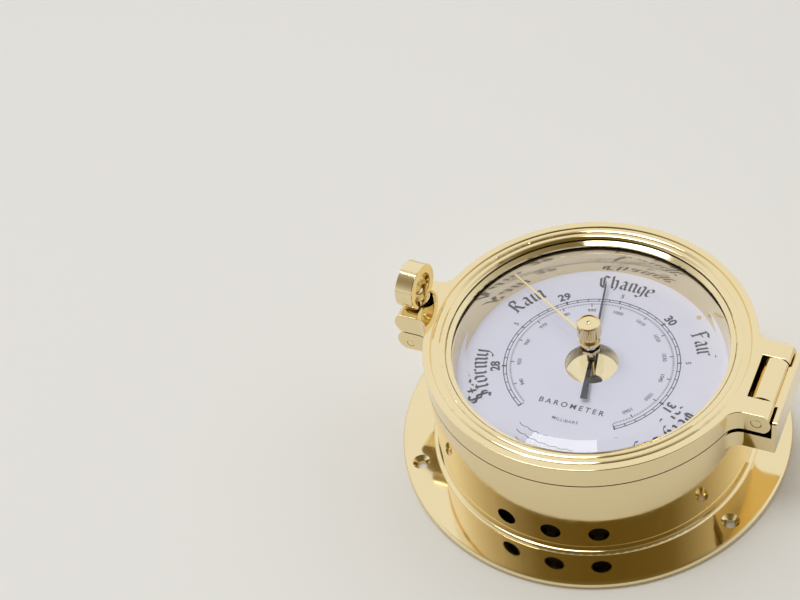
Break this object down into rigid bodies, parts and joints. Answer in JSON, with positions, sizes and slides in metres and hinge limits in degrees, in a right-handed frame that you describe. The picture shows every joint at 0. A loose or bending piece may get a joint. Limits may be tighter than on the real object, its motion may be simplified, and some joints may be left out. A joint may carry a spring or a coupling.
{
  "type": "ship barometer",
  "caption": "Round brass ship barometer with a flanged case, hinged glazed bezel, swing-bolt latch, set hand and a full aneroid movement.",
  "frame": {"origin": "centre of the flange's back face, on the instrument's axis", "axes": "+Z out of the dial, +Y to 12 o'clock, +X to the hinge"},
  "size_m": [0.147, 0.147, 0.0653],
  "materials": {
    "polished_brass": "mirror polish",
    "plain_brass": "satin",
    "steel": "satin",
    "blued_steel": "satin",
    "dial_paint": "matte",
    "glass": "clear",
    "rubber": "matte"
  },
  "bodies": {
    "case": {"mounting_flange": "polished_brass", "case_drum": "polished_brass", "case_ring": "polished_brass", "hinge_pin": "polished_brass", "latch_pin": "polished_brass", "reflector_ring": "polished_brass", "back_cover": "plain_brass", "back_cover_screws": "steel", "dial_plate": "dial_paint", "dial_spacer": "steel", "dial_screws": "plain_brass", "movement_posts": "plain_brass", "movement_screws": "steel", "movement_base_plate": "plain_brass", "movement_pillars": "plain_brass", "top_plate": "polished_brass", "top_plate_screws": "steel", "aneroid_capsule": "plain_brass", "mainspring": "steel", "lever_bracket": "plain_brass", "rocker_bracket": "plain_brass", "arbor_cock": "plain_brass", "hairspring": "steel", "hairspring_stud": "plain_brass", "fusee_chain": "steel"},
    "bezel": {"bezel_ring": "polished_brass", "glass": "glass", "glass_gasket": "rubber", "glass_retaining_ring": "polished_brass", "knob_bush": "polished_brass", "bush_nut": "polished_brass"},
    "set_hand_spindle": {"set_knob": "polished_brass", "set_spindle": "polished_brass", "set_hand": "polished_brass"},
    "pointer": {"pointer_arbor": "steel", "indicator_hand": "blued_steel"},
    "capsule_centre": {"capsule_stud": "steel"},
    "lever": {"main_lever": "steel"},
    "rocker": {"rocking_bar": "steel"},
    "adjuster": {"adjusting_screw": "steel"},
    "swing_bolt": {"latch_bolt": "polished_brass"},
    "washer": {"nut_washer": "polished_brass"},
    "nut": {"ring_nut": "polished_brass"}
  },
  "joints": [
    {"name": "bezel_hinge", "type": "hinge", "parent": "case", "child": "bezel", "pos_m": [0.0658, 0, 0.0453], "axis": [0, 1, 0], "range_deg": [0, 105]},
    {"name": "set_knob_turn", "type": "hinge", "parent": "bezel", "child": "set_hand_spindle", "pos_m": [0, 0, 0.047], "axis": [0, 0, 1], "continuous": true},
    {"name": "pointer_turn", "type": "hinge", "parent": "case", "child": "pointer", "pos_m": [0, 0, 0.03], "axis": [0, 0, 1], "range_deg": [-155, 135]},
    {"name": "rocker_turn", "type": "hinge", "parent": "case", "child": "rocker", "pos_m": [0.0382, 0, 0.0185], "axis": [0, 1, 0], "range_deg": [-16, 14]},
    {"name": "lever_turn", "type": "hinge", "parent": "case", "child": "lever", "pos_m": [-0.007, 0, 0.0244], "axis": [0, 1, 0], "range_deg": [-4.5, 5]},
    {"name": "capsule_lift", "type": "slide", "parent": "case", "child": "capsule_centre", "axis": [0, 0, 1], "range_m": [-0.0003, 0.00026]},
    {"name": "adjusting_turn", "type": "hinge", "parent": "case", "child": "adjuster", "pos_m": [-0.034, 0, 0.005], "axis": [0, 0, 1], "range_deg": [-360, 360]},
    {"name": "latch_swing", "type": "hinge", "parent": "case", "child": "swing_bolt", "pos_m": [-0.0678, 0, 0.0353], "axis": [0, -1, 0], "range_deg": [0, 100]},
    {"name": "nut_lift", "type": "slide", "parent": "swing_bolt", "child": "washer", "axis": [0, 0, 1], "range_m": [0, 0.0024]},
    {"name": "nut_turn", "type": "hinge", "parent": "washer", "child": "nut", "pos_m": [-0.0678, 0, 0.055], "axis": [0, 0, 1], "range_deg": [0, 1081]}
  ],
  "couplings": [
    {"joint": "pointer_turn", "follows": "capsule_lift", "rad_per_m": 9000},
    {"joint": "rocker_turn", "follows": "capsule_lift", "rad_per_m": 900},
    {"joint": "lever_turn", "follows": "capsule_lift", "rad_per_m": -270},
    {"joint": "nut_turn", "follows": "nut_lift", "rad_per_m": 7854}
  ]
}
